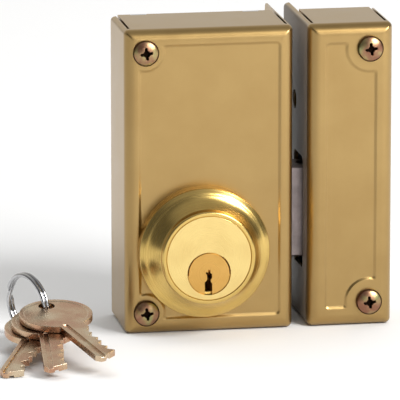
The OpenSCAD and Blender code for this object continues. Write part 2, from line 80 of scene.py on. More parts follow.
# Holes in the strike's deep wall, in y and z: the mouth's corners, and the round hole's centre and radius
MOUTH = (10.5, 18.0, 26.0, 56.0)
MOUTH_R = 2.0
WALL_HOLE = (25.0, 73.0, 3.2)

# Screws
SCREW_L = 45.0
HEAD_R = 4.3
HEAD_H = 2.6
CROWN_R = 5.8
SHANK_R = 2.1
THREAD_CORE_R = 1.55
THREAD_PITCH = 1.8

# Cylinder, keys and split ring
HOUSING_FACE_R = 14.24
KEY_BOW_R = 12.0
KEY_HOLE_TO_BOW = 7.4
COIN_RIM = 1.3
COIN_DEPTH = 0.2
WIRE_R = 0.75


# ---------------------------------------------------------------- mesh helpers

def mesh_object(name, verts, faces, smooth=True):
    """A mesh object from vertices and faces."""
    mesh = bpy.data.meshes.new(name)
    mesh.from_pydata([tuple(v) for v in verts], [], [tuple(f) for f in faces])
    mesh.validate()
    mesh.polygons.foreach_set("use_smooth", [smooth] * len(mesh.polygons))
    obj = bpy.data.objects.new(name, mesh)
    bpy.context.scene.collection.objects.link(obj)
    return obj


def apply_modifiers(obj):
    """Bakes an object's modifiers into its mesh."""
    graph = bpy.context.evaluated_depsgraph_get()
    mesh = bpy.data.meshes.new_from_object(obj.evaluated_get(graph))
    obj.modifiers.clear()
    obj.data = mesh


def shade(obj, angle):
    """Smooth shading, with edges sharper than angle (degrees) kept crisp."""
    obj.data.polygons.foreach_set("use_smooth", [True] * len(obj.data.polygons))
    obj.data.set_sharp_from_angle(angle=math.radians(angle))


def even_normals(obj, angle):
    """Smooth shading in which big flat faces stay flat."""
    shade(obj, angle)
    weigh = obj.modifiers.new("weigh", "WEIGHTED_NORMAL")
    weigh.weight = 100
    weigh.keep_sharp = True
    apply_modifiers(obj)


def recalc(obj):
    """Points every face outwards."""
    bm = bmesh.new()
    bm.from_mesh(obj.data)
    bmesh.ops.recalc_face_normals(bm, faces=bm.faces)
    bm.to_mesh(obj.data)
    bm.free()


def soften_edges(obj, width, angle, clamp=True):
    """Rounds the edges of obj that are sharper than angle (degrees)."""
    bevel = obj.modifiers.new("bevel", "BEVEL")
    bevel.width = width
    bevel.segments = 2
    bevel.limit_method = "ANGLE"
    bevel.angle_limit = math.radians(angle)
    bevel.miter_outer = "MITER_ARC"
    bevel.use_clamp_overlap = clamp
    apply_modifiers(obj)


def subtract(obj, tool):
    """Cuts tool out of obj and removes it."""
    cut = obj.modifiers.new("cut", "BOOLEAN")
    cut.operation = "DIFFERENCE"
    cut.solver = "EXACT"
    cut.object = tool
    apply_modifiers(obj)
    bpy.data.objects.remove(tool)


def prism(verts, faces, outline, axis, low, high):
    """Adds a prism to verts and faces: outline in the plane across axis (0, 1 or 2), from low to high."""
    first = len(verts)
    n = len(outline)
    for level in (low, high):
        for a, b in outline:
            point = [a, b]
            point.insert(axis, level)
            verts.append(tuple(point))
    faces.append(tuple(first + i for i in range(n)))
    faces.append(tuple(first + n + i for i in reversed(range(n))))
    for i in range(n):
        j = (i + 1) % n
        faces.append((first + j, first + i, first + n + i, first + n + j))


def carve(obj, cutters):
    """Cuts prisms out of obj; cutters is a list of (outline, axis, low, high)."""
    verts = []
    faces = []
    for outline, axis, low, high in cutters:
        prism(verts, faces, outline, axis, low, high)
    tool = mesh_object(obj.name + "_tool", verts, faces, smooth=False)
    recalc(tool)
    subtract(obj, tool)


def lathe(name, profile, centre, steps):
    """Turns a closed profile of (radius, y) about an axis along Y through centre (x, z)."""
    count = len(profile)
    verts = []
    for k in range(steps):
        a = 2 * math.pi * k / steps
        verts += [(centre[0] + r * math.cos(a), y, centre[1] + r * math.sin(a)) for r, y in profile]
    faces = []
    for k in range(steps):
        low = k * count
        high = (k + 1) % steps * count
        for i in range(count):
            j = (i + 1) % count
            faces.append((low + i, low + j, high + j, high + i))
    return mesh_object(name, verts, faces)


def frustum(name, r_a, y_a, r_b, y_b):
    """A capped cone about the Y axis, from radius r_a at y_a to r_b at y_b."""
    steps = 96
    verts = [(x, y, z) for r, y in ((r_a, y_a), (r_b, y_b)) for x, z in ring_points(0, 0, r, steps)]
    faces = [(k, (k + 1) % steps, steps + (k + 1) % steps, steps + k) for k in range(steps)]
    faces += [tuple(range(steps)), tuple(range(steps, 2 * steps))]
    return mesh_object(name, verts, faces, smooth=False)


def flat_copy(node, name):
    """A copy of a CAD node with its flat faces joined."""
    source = frame["nodes"][node]
    obj = bpy.data.objects.new(name, source.data.copy())
    bpy.context.scene.collection.objects.link(obj)
    bm = bmesh.new()
    bm.from_mesh(obj.data)
    bmesh.ops.remove_doubles(bm, verts=bm.verts, dist=2e-6)
    bmesh.ops.dissolve_limit(bm, angle_limit=math.radians(0.6), verts=bm.verts, edges=bm.edges)
    bm.to_mesh(obj.data)
    bm.free()
    obj.data.materials.clear()
    return obj


def finish_piece(obj, node):
    """Gives a piece the material, body and slot of the CAD node that it stands for."""
    slot = SLOT_OF[node]
    obj.data.materials.clear()
    obj.data.materials.append(MATERIALS[slot])
    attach(obj, BODY_OF[node])
    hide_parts(node)


# ---------------------------------------------------------------- outlines and sample places

def smoothstep(a, b, x):
    """0 at a and before it, 1 at b and past it, smooth between."""
    t = np.clip((x - a) / (b - a), 0, 1)
    return float(t * t * (3 - 2 * t))


def places(*stretches):
    """Sample places along (start, end, spacing) stretches joined end to end."""
    out = []
    for start, end, spacing in stretches:
        count = max(1, round((end - start) / spacing))
        out += [start + (end - start) * i / count for i in range(count)]
    out.append(stretches[-1][1])
    return out


def arc(cx, cy, r, start, end, steps):
    """Points along an arc, angles in degrees."""
    turns = [math.radians(start + (end - start) * i / steps) for i in range(steps + 1)]
    return [(cx + r * math.cos(a), cy + r * math.sin(a)) for a in turns]


def bezier(a, b, c, d, steps):
    """Points after a along a cubic curve."""
    out = []
    for i in range(1, steps + 1):
        t = i / steps
        weights = ((1 - t) ** 3, 3 * t * (1 - t) ** 2, 3 * t * t * (1 - t), t ** 3)
        out.append(tuple(sum(w * p[n] for w, p in zip(weights, (a, b, c, d))) for n in (0, 1)))
    return out


def ring_points(a, b, r, count=32):
    """Points round a circle."""
    turns = [2 * math.pi * k / count for k in range(count)]
    return [(a + r * math.cos(t), b + r * math.sin(t)) for t in turns]


def rectangle(a0, b0, a1, b1):
    """Corners of a rectangle."""
    return [(a0, b0), (a1, b0), (a1, b1), (a0, b1)]


def round_rectangle(a0, b0, a1, b1, r):
    """Outline of a rectangle with corners of radius r."""
    return (arc(a1 - r, b1 - r, r, 0, 90, 5) + arc(a0 + r, b1 - r, r, 90, 180, 5)
            + arc(a0 + r, b0 + r, r, 180, 270, 5) + arc(a1 - r, b0 + r, r, 270, 360, 5))


def axis_of(node):
    """Middle (x, z) of a node's box."""
    low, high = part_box(node)
    return ((low.x + high.x) / 2, (low.z + high.z) / 2)


def box_mm(node, origin):
    """Low and high corner of a node's box, in mm from origin."""
    return [[(a - b) / MM for a, b in zip(corner, origin)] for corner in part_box(node)]


# ---------------------------------------------------------------- materials

class Nodes:
    """Short way to write a tree of shader nodes."""

    def __init__(self, tree):
        self.tree = tree

    def add(self, kind, **settings):
        node = self.tree.nodes.new(kind)
        for key, value in settings.items():
            setattr(node, key, value)
        return node

    def link(self, a, b):
        self.tree.links.new(a, b)

    def place(self, scale=(1, 1, 1), turn=(0, 0, 0)):
        coords = self.add("ShaderNodeTexCoord")
        mapping = self.add("ShaderNodeMapping")
        mapping.inputs["Scale"].default_value = scale
        mapping.inputs["Rotation"].default_value = turn
        self.link(coords.outputs["Object"], mapping.inputs["Vector"])
        return mapping.outputs["Vector"]

    def split(self, vector):
        node = self.add("ShaderNodeSeparateXYZ")
        self.link(vector, node.inputs["Vector"])
        return [node.outputs[k] for k in "XYZ"]

    def noise(self, vector, scale, detail):
        node = self.add("ShaderNodeTexNoise")
        node.inputs["Scale"].default_value = scale
        node.inputs["Detail"].default_value = detail
        node.inputs["Roughness"].default_value = 0.55
        self.link(vector, node.inputs["Vector"])
        return node.outputs["Fac"]

    def ramp(self, value, stops):
        node = self.add("ShaderNodeValToRGB")
        elements = node.color_ramp.elements
        while len(elements) < len(stops):
            elements.new(0.5)
        for element, (position, colour) in zip(elements, stops):
            element.position = position
            element.color = (*colour, 1)
        self.link(value, node.inputs["Fac"])
        return node.outputs["Color"]

    def span(self, value, low, high, from_low=0.3, from_high=0.7):
        """Maps from_low..from_high onto low..high, and holds it there past both ends."""
        node = self.add("ShaderNodeMapRange")
        node.inputs["From Min"].default_value = from_low
        node.inputs["From Max"].default_value = from_high
        node.inputs["To Min"].default_value = low
        node.inputs["To Max"].default_value = high
        self.link(value, node.inputs["Value"])
        return node.outputs["Result"]

    def math(self, operation, *values):
        node = self.add("ShaderNodeMath", operation=operation)
        for socket, value in zip(node.inputs, values):
            if isinstance(value, (int, float)):
                socket.default_value = value
            else:
                self.link(value, socket)
        return node.outputs["Value"]

    def distance(self, value, middle):
        """How far value is from middle."""
        return self.math("ABSOLUTE", self.math("SUBTRACT", value, middle))

    def mix(self, factor, base, colour):
        """base where factor is 0, and colour, a socket or a constant, where it is 1."""
        node = self.add("ShaderNodeMix", data_type="RGBA")
        base_input, colour_input = node.inputs[6], node.inputs[7]
        self.link(factor, node.inputs["Factor"])
        self.link(base, base_input)
        if isinstance(colour, tuple):
            colour_input.default_value = (*colour, 1)
        else:
            self.link(colour, colour_input)
        return node.outputs[2]


class Paint(Nodes):
    """A new material and its nodes."""

    def __init__(self, name):
        self.material = bpy.data.materials.new(name)
        self.material.use_nodes = True
        super().__init__(self.material.node_tree)
        self.shader = self.tree.nodes["Principled BSDF"]

    def edges(self, width):
        """1 on sharp edges, 0 away from them."""
        bevel = self.add("ShaderNodeBevel", samples=4)
        bevel.inputs["Radius"].default_value = width
        geometry = self.add("ShaderNodeNewGeometry")
        turn = self.add("ShaderNodeVectorMath", operation="DOT_PRODUCT")
        self.link(bevel.outputs["Normal"], turn.inputs[0])
        self.link(geometry.outputs["Normal"], turn.inputs[1])
        return self.span(turn.outputs["Value"], 1.0, 0.0, 0.93, 0.995)

    def grain(self, height, strength):
        """A fine unevenness of the surface."""
        node = self.add("ShaderNodeBump")
        node.inputs["Strength"].default_value = strength
        node.inputs["Distance"].default_value = 0.02 * MM
        self.link(height, node.inputs["Height"])
        self.link(node.outputs["Normal"], self.shader.inputs["Normal"])

    def colour(self, output):
        self.link(output, self.shader.inputs["Base Color"])

    def rough(self, output):
        self.link(output, self.shader.inputs["Roughness"])

    def set(self, **values):
        for key, value in values.items():
            self.shader.inputs[key.replace("_", " ")].default_value = value


def satin_gold():
    """Gold lacquer on sheet steel under a thin clear coat, with painted shade on the walls in the door gap:
    there they are painted dark grey, rougher and less metallic.
    """
    m = Paint("satin_gold")
    place = m.place()
    flake = m.noise(place, 9000, 2)
    cloud = m.noise(place, 60, 4)
    gold = m.ramp(cloud, [(0.35, (0.382, 0.246, 0.089)), (0.65, (0.416, 0.274, 0.102))])
    rubbed = m.math("MULTIPLY", m.edges(0.35 * MM), m.span(m.noise(place, 400, 3), 0.0, 0.8, 0.45, 0.60))
    gold = m.mix(rubbed, gold, (0.50, 0.46, 0.38))
    across, depth, _ = m.split(place)
    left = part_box("case_shell")[1].x
    half = (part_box("strike_shell")[0].x - left) / 2
    in_gap = m.span(m.distance(across, left + half), 1.0, 0.0, half + 0.1 * MM, half + 0.9 * MM)
    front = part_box("case_shell")[0].y
    behind_bend = m.span(depth, 0.0, 1.0, front + 3.0 * MM, front + 6.0 * MM)
    # Painted shade: the walls facing each other across the door gap are painted dark grey, rougher and less
    # metallic, for the shade between them
    gap_shade = m.math("MULTIPLY", in_gap, behind_bend)
    m.colour(m.mix(gap_shade, gold, (0.29, 0.245, 0.20)))
    m.rough(m.math("MAXIMUM", m.span(cloud, 0.30, 0.36), m.math("MULTIPLY", gap_shade, 0.75)))
    m.link(m.math("SUBTRACT", 1.0, m.math("MULTIPLY", gap_shade, 0.8)), m.shader.inputs["Metallic"])
    m.grain(flake, 0.05)
    m.set(Coat_Weight=0.28, Coat_Roughness=0.22, Coat_IOR=1.5)
    return m.material


def turned_brass(name, node, low, high, rough, face=None):
    """Brass with lathe lines round the node's axis; face gives a radius in mm and the colours inside it."""
    m = Paint(name)
    coords = m.add("ShaderNodeTexCoord")
    axis_x, axis_z = axis_of(node)
    shift = m.add("ShaderNodeVectorMath", operation="SUBTRACT")
    m.link(coords.outputs["Object"], shift.inputs[0])
    shift.inputs[1].default_value = (axis_x, 0, axis_z)
    flat = m.add("ShaderNodeVectorMath", operation="MULTIPLY")
    m.link(shift.outputs["Vector"], flat.inputs[0])
    flat.inputs[1].default_value = (1, 0, 1)
    radius = m.add("ShaderNodeVectorMath", operation="LENGTH")
    m.link(flat.outputs["Vector"], radius.inputs[0])
    lines = m.add("ShaderNodeTexNoise", noise_dimensions="1D")
    lines.inputs["Scale"].default_value = 9000
    lines.inputs["Detail"].default_value = 2
    m.link(radius.outputs["Value"], lines.inputs["W"])
    cloud = m.noise(coords.outputs["Object"], 130, 3)
    colour = m.ramp(cloud, [(0.35, low), (0.65, high)])
    if face:
        face_r, face_low, face_high = face
        inside = m.span(radius.outputs["Value"], 1.0, 0.0, face_r * MM, (face_r + 0.1) * MM)
        colour = m.mix(inside, colour, m.ramp(cloud, [(0.35, face_low), (0.65, face_high)]))
    m.colour(colour)
    m.rough(m.span(lines.outputs["Fac"], *rough))
    m.grain(lines.outputs["Fac"], 0.12)
    m.set(Metallic=1.0)
    return m.material


def plain_metal(name, low, high, rough, stretch=(1, 1, 1)):
    """Metal with a colour that wanders between low and high, and a fine grain."""
    m = Paint(name)
    cloud = m.noise(m.place(), 220, 4)
    streak = m.noise(m.place(stretch), 900, 3)
    m.colour(m.ramp(cloud, [(0.35, low), (0.65, high)]))
    m.rough(m.span(streak, *rough))
    m.grain(streak, 0.05)
    m.set(Metallic=1.0)
    return m.material


def yellow_zinc():
    """Yellow-passivated zinc: rose and green drift over straw yellow, with painted shade, near black, in the
    cross recess where the mesh marks it.
    """
    m = Paint("yellow_zinc")
    place = m.place()
    drift = m.noise(place, 230, 2)
    tint = m.ramp(drift, [(0.38, (0.29, 0.14, 0.085)), (0.50, (0.35, 0.205, 0.115)),
                          (0.58, (0.40, 0.30, 0.14)), (0.68, (0.34, 0.33, 0.15))])
    # Painted shade: the cross recess is painted near black and made rougher, as deep as the mesh marks it
    recess_shade = m.add("ShaderNodeAttribute", attribute_name="recess_shade").outputs["Fac"]
    m.colour(m.mix(recess_shade, tint, (0.020, 0.010, 0.006)))
    fine = m.noise(place, 2500, 3)
    m.rough(m.math("MAXIMUM", m.span(fine, 0.30, 0.44), m.math("MULTIPLY", recess_shade, 0.7)))
    m.grain(fine, 0.10)
    m.set(Metallic=1.0)
    return m.material


def key_metal():
    """Nickel silver worn through to rose brass, paler along its rubbed edges."""
    m = Paint("key_metal")
    patch = m.noise(m.place(), 75, 3)
    tone = m.ramp(patch, [(0.33, (0.45, 0.225, 0.140)), (0.47, (0.53, 0.35, 0.22)),
                          (0.62, (0.62, 0.50, 0.35))])
    m.colour(m.mix(m.edges(0.3 * MM), tone, (0.86, 0.74, 0.56)))
    scratch = m.noise(m.place((1.0, 0.12, 1.0), (0, 0, 0.5)), 2600, 3)
    m.rough(m.span(scratch, 0.20, 0.34))
    m.grain(scratch, 0.06)
    m.set(Metallic=1.0)
    return m.material


MATERIALS = {
    "satin_gold": satin_gold(),
    "zinc_steel": plain_metal("zinc_steel", (0.52, 0.52, 0.53), (0.58, 0.58, 0.59), (0.28, 0.40)),
    "polished_brass": turned_brass("polished_brass", "trim_ring", (0.63, 0.43, 0.130), (0.69, 0.48, 0.155),
                                   (0.20, 0.29),
                                   (HOUSING_FACE_R, (0.77, 0.565, 0.215), (0.83, 0.625, 0.245))),
    "plug_brass": turned_brass("plug_brass", "cylinder_plug", (0.60, 0.335, 0.085), (0.66, 0.38, 0.105),
                               (0.26, 0.36)),
    "hard_steel": plain_metal("hard_steel", (0.40, 0.40, 0.41), (0.50, 0.50, 0.51), (0.25, 0.38)),
    "spring_steel": plain_metal("spring_steel", (0.48, 0.48, 0.50), (0.58, 0.58, 0.60), (0.18, 0.30)),
    "bolt_steel": plain_metal("bolt_steel", (0.30, 0.26, 0.255), (0.40, 0.34, 0.34), (0.34, 0.48),
                              (1, 1, 0.1)),
    "yellow_zinc": yellow_zinc(),
    "ring_steel": plain_metal("ring_steel", (0.42, 0.42, 0.43), (0.52, 0.52, 0.53), (0.10, 0.18)),
    "key_metal": key_metal(),
}

for cad_node, cad_slot in SLOT_OF.items():
    cad_mesh = frame["nodes"][cad_node].data
    cad_mesh.materials.clear()
    cad_mesh.materials.append(MATERIALS[cad_slot])


# ---------------------------------------------------------------- sheet shells

# How deep, in bend radii, the rounded front corners reach down the walls
CORNER_REACH = 1.16


class Panel:
    """The stamped recess of a front: a rounded rectangle with an arc kept round each screw."""

    corner_r = 1.6
    fillet = 1.2

    def __init__(self, w, h, gap, boss_x, boss_z, boss_r):
        self.w, self.h, self.gap = w, h, gap
        self.boss_x, self.boss_z, self.boss_r = boss_x, boss_z, boss_r

    def depth(self, x, z):
        """How far the front is pressed in at x, z."""
        half_w = self.w / 2 - self.gap - self.corner_r
        half_h = self.h / 2 - self.gap - 0.5 - self.corner_r
        px = abs(x - self.w / 2) - half_w
        pz = abs(z - self.h / 2) - half_h
        inside = self.corner_r - math.hypot(max(px, 0), max(pz, 0)) - min(max(px, pz), 0)
        for boss_z in (self.boss_z, self.h - self.boss_z):
            boss = math.hypot(x - self.boss_x, z - boss_z) - self.boss_r
            blend = max(self.fillet - abs(inside - boss), 0) / self.fillet
            inside = min(inside, boss) - blend * blend * 0.3
        return PANEL_DEPTH * smoothstep(-0.15, 1.0, inside)

    def lines(self, length, near_boss, far_boss):
        """Sample places across a side: close together at the steps and round the screws."""
        edge = self.gap - 0.3
        reach = self.boss_r + self.fillet
        low = near_boss + reach if near_boss else self.gap + 1.8
        high = length - far_boss - reach if far_boss else length - self.gap - 1.8
        return places((0, edge, 0.4), (edge, edge + 1.5, 0.1), (edge + 1.5, low, 0.2), (low, high, 3.0),
                      (high, length - edge - 1.5, 0.2), (length - edge - 1.5, length - edge, 0.1),
                      (length - edge, length, 0.4))


def folded_profile(length, depth, radius, flat):
    """(across, depth) points of a folded strip: wall, bend, flat front, bend, wall."""
    wall = [radius * CORNER_REACH, 5.5] + places((8.0, depth, 5.5))
    bend = arc(radius, radius, -radius, 0, 90, 12)
    near = [(0.0, y) for y in reversed(wall)] + bend
    far = [(length - x, y) for x, y in reversed(bend)] + [(length, y) for y in wall]
    return near + [(x, 0.0) for x in flat if radius + 0.01 < x < length - radius - 0.01] + far


def round_off(x, z, w, h, r):
    """Pulls a point near a corner of the rectangle w by h onto a rounded corner of radius r."""
    dx = max(r - x, x - (w - r), 0)
    dz = max(r - z, z - (h - r), 0)
    if dx == 0 or dz == 0:
        return x, z
    pull = 1 - max(dx, dz) / math.hypot(dx, dz)
    side_x = 1 if x > w / 2 else -1
    side_z = 1 if z > h / 2 else -1
    return x - side_x * dx * pull, z - side_z * dz * pull


def folded_skin(w, h, depth, radius, panel, inset):
    """Skin of a folded block with a stamped front, inset by the sheet's thickness or by 0."""
    boss_far = panel.boss_x > w / 2
    flat_x = panel.lines(w, 0 if boss_far else panel.boss_x, w - panel.boss_x if boss_far else 0)
    flat_z = panel.lines(h, panel.boss_z, panel.boss_z)
    inner_w = w - 2 * inset
    inner_h = h - 2 * inset
    across = folded_profile(inner_w, depth - inset, radius, [x - inset for x in flat_x])
    upright = folded_profile(inner_h, depth - inset, radius, [z - inset for z in flat_z])
    roundness = 6
    corner_r = max(1.8 - inset, 0.4)
    corner_end = radius * CORNER_REACH - 1e-6
    verts = []
    index = {}
    grid = {}
    for i, (x, yx) in enumerate(across):
        for j, (z, yz) in enumerate(upright):
            if min(yx, yz) > corner_end:
                continue
            y = max(yx, yz)
            if 0 < y <= corner_end:
                y = (yx ** roundness + yz ** roundness) ** (1 / roundness)
            y += panel.depth(x + inset, z + inset) if y < 0.5 else 0
            key = (round(x, 5), round(y, 5), round(z, 5))
            if key not in index:
                index[key] = len(verts)
                near_x, near_z = round_off(x, z, inner_w, inner_h, corner_r)
                verts.append((near_x + inset, y + inset, near_z + inset))
            grid[i, j] = index[key]
    faces = []
    for i in range(len(across) - 1):
        for j in range(len(upright) - 1):
            corners = [grid.get(k) for k in ((i, j), (i, j + 1), (i + 1, j + 1), (i + 1, j))]
            if None not in corners and len(set(corners)) > 2:
                faces.append(tuple(dict.fromkeys(corners)))
    return verts, faces


def closed_block(name, verts, faces):
    """Welds the skin's corner seams and caps its open back."""
    obj = mesh_object(name, verts, faces)
    bm = bmesh.new()
    bm.from_mesh(obj.data)
    bmesh.ops.remove_doubles(bm, verts=bm.verts, dist=1e-4)
    bmesh.ops.holes_fill(bm, edges=[e for e in bm.edges if e.is_boundary], sides=0)
    bmesh.ops.recalc_face_normals(bm, faces=bm.faces)
    bm.to_mesh(obj.data)
    bm.free()
    return obj


def corner_waste(y, z, up):
    """Outline, in y and z, of what is cut off to round a wall's free corner at depth y."""
    side = 1 if up else -1
    r = WALL_CORNER_R
    out = [(y - r, z + side), (y + 1, z + side), (y + 1, z - side * r)]
    return out + [(y - r + a, z - side * r + side * b) for a, b in arc(0, 0, r, 0, 90, 6)]


def sheet_shell(name, low, w, h, panel, deep_right, cutters, depth, edge_depth):
    """A folded box of sheet steel with a stamped front, slit corners, holes and one deeper side wall."""
    t = SHEET
    shell = closed_block(name, *folded_skin(w, h, edge_depth, BEND, panel, 0))
    core = closed_block(name + "_core", *folded_skin(w, h, edge_depth + 6, BEND - t, panel, t))
    subtract(shell, core)
    keep = (-1.0, w - t) if deep_right else (t, w + 1.0)
    carve(shell, [(rectangle(keep[0], depth, keep[1], edge_depth + 5), 2, -1.0, h + 1.0)])
    slits = [(rectangle(x, BEND + 1, x + CORNER_SLIT, depth + 1.0), 2, z, z + t + 1.6)
             for x in (t, w - t - CORNER_SLIT) for z in (-1.0, h - t - 0.6)]
    carve(shell, slits + cutters)
    sides = ((w - t - 0.2, w + 1.0), (-1.0, t + 0.2))
    deep, other = sides if deep_right else reversed(sides)
    carve(shell, [(corner_waste(y, z, up), 0, *side) for y, side in ((edge_depth, deep), (depth, other))
                  for z, up in ((h, True), (0.0, False))])
    soften_edges(shell, 0.14, 50)
    even_normals(shell, 50)
    shell.data.transform(Matrix.Translation(low) @ Matrix.Scale(MM, 4))
    return shell


def screw_place(node, origin):
    """Where the lower screw of a pair is, in mm from origin: (x, z)."""
    (left, _, bottom), (right, _, _) = box_mm(node, origin)
    head = (right - left) / 2
    return left + head, bottom + head


def screw_holes(x, z, h):
    """Cutters for the pair of screw holes in a front of height h."""
    return [(ring_points(x, level, SCREW_HOLE_R), 1, *THROUGH_FRONT) for level in (z, h - z)]


def edge_holes(low, high):
    """Cutters for the screw holes in a deep wall that lies between low and high."""
    return [(ring_points(EDGE_HOLE_Y, z, EDGE_HOLE_R), 0, low, high) for z in EDGE_HOLE_Z]


def shells():
    """The lock case and the strike."""
    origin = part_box("case_shell")[0]
    w, edge_depth, h = box_mm("case_shell", origin)[1]
    depth = box_mm("back_plate", origin)[1][1]
    (ring_left, _, ring_low), (ring_right, _, ring_high) = box_mm("trim_ring", origin)
    cylinder_hole = ring_points((ring_left + ring_right) / 2, (ring_low + ring_high) / 2, CYLINDER_HOLE_R, 64)
    (_, bolt_front, bolt_low), (_, bolt_back, bolt_high) = box_mm("bolt_head", origin)
    bolt_hole = round_rectangle(bolt_front - BOLT_GAP, bolt_low - BOLT_GAP, bolt_back + BOLT_GAP,
                                bolt_high + BOLT_GAP, 0.6)
    notches = [(rectangle(x, depth - SHEET, x + NOTCH_W, depth + 1), 2, z, z + SHEET + 1)
               for x in NOTCH_X for z in (-1.0, h - SHEET)]
    x, z = screw_place("case_screws", origin)
    wall = (w - SHEET - 1, w + 1)
    cutters = screw_holes(x, z, h) + [(cylinder_hole, 1, *THROUGH_FRONT)] + notches
    cutters += [(bolt_hole, 0, *wall)] + edge_holes(*wall)
    panel = Panel(w, h, CASE_PANEL_GAP, x, z, CASE_BOSS_R)
    case = sheet_shell("case_sheet", origin, w, h, panel, True, cutters, depth, edge_depth)
    finish_piece(case, "case_shell")

    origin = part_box("strike_shell")[0]
    w = box_mm("strike_shell", origin)[1][0]
    x, z = screw_place("strike_screws", origin)
    wall = (-1.0, SHEET + 1)
    cutters = screw_holes(x, z, h) + [(round_rectangle(*MOUTH, MOUTH_R), 0, *wall)]
    cutters += [(ring_points(*WALL_HOLE), 0, *wall)] + edge_holes(*wall)
    panel = Panel(w, h, STRIKE_PANEL_GAP, x, z, STRIKE_BOSS_R)
    strike = sheet_shell("strike_sheet", origin, w, h, panel, False, cutters, depth, edge_depth)
    finish_piece(strike, "strike_shell")


# ---------------------------------------------------------------- turned brass

def trim_ring():
    """The turned ring: foot down to the panel, rounded rim, hollow sloping band, collar and bored seat."""
    low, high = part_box("trim_ring")
    r = (high.x - low.x) / 2 / MM
    face = (low.y - high.y) / MM
    rim = -5.3
    rim_round = 0.6
    band = (19.8, -6.4)
    collar = 15.7
    collar_round = 0.8
    seat = 14.25
    shoulder = -1.4
    outline = [(r - 2.0, PANEL_DEPTH), (r - 0.05, PANEL_DEPTH), (r, 0.0), (r, -2.0), (r, rim + rim_round)]
    outline += arc(r - rim_round, rim + rim_round, rim_round, 0, -60, 6)
    outline += bezier(outline[-1], (r - 1.2, -5.95), (20.4, -6.2), band, 10)
    outline += bezier(band, (18.5, -6.85), (17.0, -8.7), (collar, -10.6), 18)
    outline += [(collar, -10.9)] + arc(collar - collar_round, face + collar_round, collar_round, 0, -90, 10)
    outline += [(seat + 0.07, face), (seat, face + 0.08), (seat, shoulder), (CYLINDER_HOLE_R, shoulder),
                (CYLINDER_HOLE_R, 0.0), (r - 2.0, 0.0)]
    profile = [(a * MM, high.y + b * MM) for a, b in outline]
    ring = lathe("ring_turned", profile, axis_of("trim_ring"), 256)
    recalc(ring)
    shade(ring, 35)
    finish_piece(ring, "trim_ring")


# ---------------------------------------------------------------- screws

def head_surface(r):
    """Where a pan head's surface is at radius r, from its underside."""
    crown = CROWN_R - math.sqrt(CROWN_R ** 2 - r * r)
    rim_start = 3.75
    edge = max(r - rim_start, 0) / (HEAD_R - rim_start)
    return -HEAD_H + crown * 0.8 + (1 - math.sqrt(max(1 - edge * edge, 0))) * 0.75


def cross_recess(x, z):
    """Depth of the head's cross at x, z."""
    wing = 0.0
    for along, side in ((abs(x), abs(z)), (abs(z), abs(x))):
        half_width = 0.44 - 0.05 * along
        flank = smoothstep(0.16, -0.16, side - half_width)
        reach = smoothstep(2.25, 1.6, along)
        wing = max(wing, flank * reach * (1.75 - 0.25 * along))
    hub = smoothstep(1.25, 0.75, math.hypot(x, z)) * 1.7
    return max(wing, hub)


def thread_radius(y, turn):
    """Radius of the threaded end at depth y and a part turn: a ridge that winds round it, and a point."""
    start = smoothstep(13.2, 15.5, y)
    body = SHANK_R + (THREAD_CORE_R - SHANK_R) * start
    phase = (y / THREAD_PITCH + turn) % 1.0
    ridge = max(0.0, 1 - abs(phase - 0.5) / 0.22)
    point = min(1.0, (SCREW_L - y) / 5.0)
    return (body + (SHANK_R - body) * ridge * start) * point


def screw_surface(centre, front):
    """Vertices, faces and painted recess shade of one screw: a domed head with a cross recess, and a threaded
    shank.
    """
    around = 96
    turns = [k / around for k in range(around)]
    cross_turn = math.radians(8)
    # Recess depth, in mm, at which the painted shade in the recess is full
    full_recess_shade = 0.9
    radii = places((0.12, 3.0, 0.12), (3.0, 3.9, 0.18), (3.9, HEAD_R, 0.1))
    head = [(0.0, 0.0)] + [(r, 2 * math.pi * t) for r in radii for t in turns]
    verts = []
    recess_shade = []
    for r, a in head:
        recess = cross_recess(r * math.cos(a - cross_turn), r * math.sin(a - cross_turn))
        verts.append((r * math.cos(a), head_surface(r) + recess, r * math.sin(a)))
        recess_shade.append(min(1.0, recess / full_recess_shade))
    under_head = ((-1.2, HEAD_R), (-0.12, HEAD_R), (0.0, HEAD_R - 0.12), (0.0, SHANK_R), (1.0, SHANK_R))
    rings = [(y, [r] * around) for y, r in under_head]
    rings += [(y, [thread_radius(y, t) for t in turns]) for y in places((13.0, SCREW_L - 0.2, 0.2))]
    for y, ring in rings:
        verts += [(r * math.cos(2 * math.pi * t), y, r * math.sin(2 * math.pi * t))
                  for r, t in zip(ring, turns)]
    rows = range(1, len(verts), around)
    pairs = [(k, (k + 1) % around) for k in range(around)]
    faces = [(0, 1 + k, 1 + n) for k, n in pairs]
    faces += [(low + k, high + k, high + n, low + n) for low, high in zip(rows, rows[1:]) for k, n in pairs]
    faces.append(tuple(rows[-1] + k for k in reversed(range(around))))
    placed = [(centre[0] + x * MM, front + y * MM, centre[1] + z * MM) for x, y, z in verts]
    return placed, faces, recess_shade + [0.0] * (len(verts) - len(recess_shade))


def screws():
    """Both pairs of screws."""
    for node in ("case_screws", "strike_screws"):
        low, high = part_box(node)
        head = (high.x - low.x) / 2
        verts = []
        faces = []
        recess_shade = []
        for z in (low.z + head, high.z - head):
            more_verts, more_faces, more_recess_shade = screw_surface((low.x + head, z), high.y - SCREW_L * MM)
            faces += [tuple(i + len(verts) for i in face) for face in more_faces]
            verts += more_verts
            recess_shade += more_recess_shade
        obj = mesh_object(node.replace("_screws", "_pan_screws"), verts, faces)
        # Painted shade in the cross recess, stored on each vertex for the screw material
        obj.data.attributes.new("recess_shade", "FLOAT", "POINT").data.foreach_set("value", recess_shade)
        recalc(obj)
        shade(obj, 50)
        finish_piece(obj, node)


# ---------------------------------------------------------------- the rest

